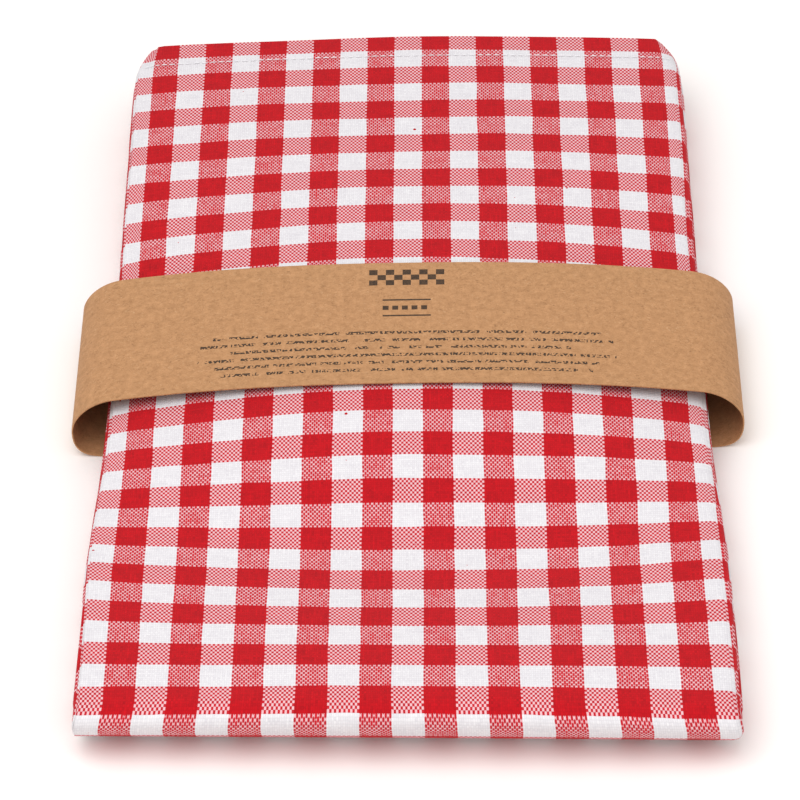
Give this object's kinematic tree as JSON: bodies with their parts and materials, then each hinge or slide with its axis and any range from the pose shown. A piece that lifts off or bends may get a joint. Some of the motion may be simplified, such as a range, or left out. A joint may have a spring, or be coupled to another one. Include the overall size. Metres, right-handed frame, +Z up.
{
  "type": "folded tablecloth in a paper band",
  "caption": "Red and white gingham cotton tablecloth folded into a flat pack, held by a loose brown kraft paper belly band.",
  "frame": {"origin": "middle of the base of the pack, on the surface it lies on", "axes": "+Z up, -Y towards the closed front fold, +Y towards the hems, X across the pack and along the band"},
  "size_m": [0.22, 0.3506, 0.0293],
  "materials": {
    "gingham_cotton": "matte",
    "sewing_thread": "matte",
    "label_tape": "satin",
    "kraft_card": "matte",
    "glue": "gloss"
  },
  "bodies": {
    "pack": {"outer_front_fold": "gingham_cotton", "inner_front_fold": "gingham_cotton", "bottom_leaf": "gingham_cotton", "third_leaf": "gingham_cotton", "second_leaf": "gingham_cotton", "top_leaf": "gingham_cotton", "rear_fold": "gingham_cotton"},
    "belly_band": {"kraft_band": "kraft_card", "band_glue": "glue"},
    "second_end": {"second_flap": "gingham_cotton", "second_hem": "gingham_cotton"},
    "top_end": {"top_flap": "gingham_cotton", "top_hem": "gingham_cotton", "hem_thread": "sewing_thread", "care_label": "label_tape"}
  },
  "joints": [
    {"name": "band_slide", "type": "slide", "parent": "pack", "child": "belly_band", "axis": [0, -1, 0], "range_m": [0, 0.22]},
    {"name": "second_end_lift", "type": "hinge", "parent": "pack", "child": "second_end", "pos_m": [0, 0.0557, 0.0288], "axis": [1, 0, 0], "range_deg": [0, 80]},
    {"name": "top_end_lift", "type": "hinge", "parent": "second_end", "child": "top_end", "pos_m": [0, 0.0557, 0.0288], "axis": [1, 0, 0], "range_deg": [0, 80]}
  ]
}
